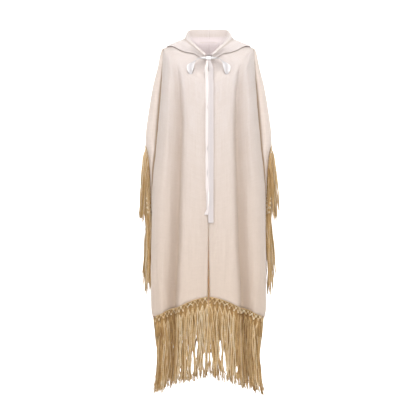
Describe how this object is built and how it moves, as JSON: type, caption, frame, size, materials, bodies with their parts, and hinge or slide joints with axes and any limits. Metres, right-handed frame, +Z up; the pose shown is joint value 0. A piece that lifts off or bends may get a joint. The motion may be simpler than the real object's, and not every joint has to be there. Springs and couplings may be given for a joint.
{
  "type": "knitted hooded poncho",
  "caption": "Ankle-length hooded knitted poncho in its worn, hollow shape, open down the front, with a satin bow and long knotted fringe on hem and open sides",
  "frame": {"origin": "at the base of the neck, at shoulder height, where the wearer's shoulders carry the garment", "axes": "+Z up, the front faces -Y, +X is the viewer's right"},
  "size_m": [0.5474, 0.3353, 1.4575],
  "materials": {
    "ivory_plush_knit": "soft brushed knit",
    "white_satin": "satin sheen",
    "golden_fringe_yarn": "matt twisted yarn"
  },
  "bodies": {
    "root": {"front_left": "ivory_plush_knit", "front_right": "ivory_plush_knit", "back": "ivory_plush_knit", "hood_left": "ivory_plush_knit", "hood_right": "ivory_plush_knit", "ribbon_knot": "white_satin", "ribbon_loop_left": "white_satin", "ribbon_loop_right": "white_satin", "ribbon_tail_left": "white_satin", "ribbon_tail_right": "white_satin", "fringe_hem_front_left": "golden_fringe_yarn", "fringe_hem_front_right": "golden_fringe_yarn", "fringe_hem_back": "golden_fringe_yarn", "fringe_side_front_left": "golden_fringe_yarn", "fringe_side_front_right": "golden_fringe_yarn", "fringe_side_back_left": "golden_fringe_yarn", "fringe_side_back_right": "golden_fringe_yarn"}
  },
  "joints": []
}
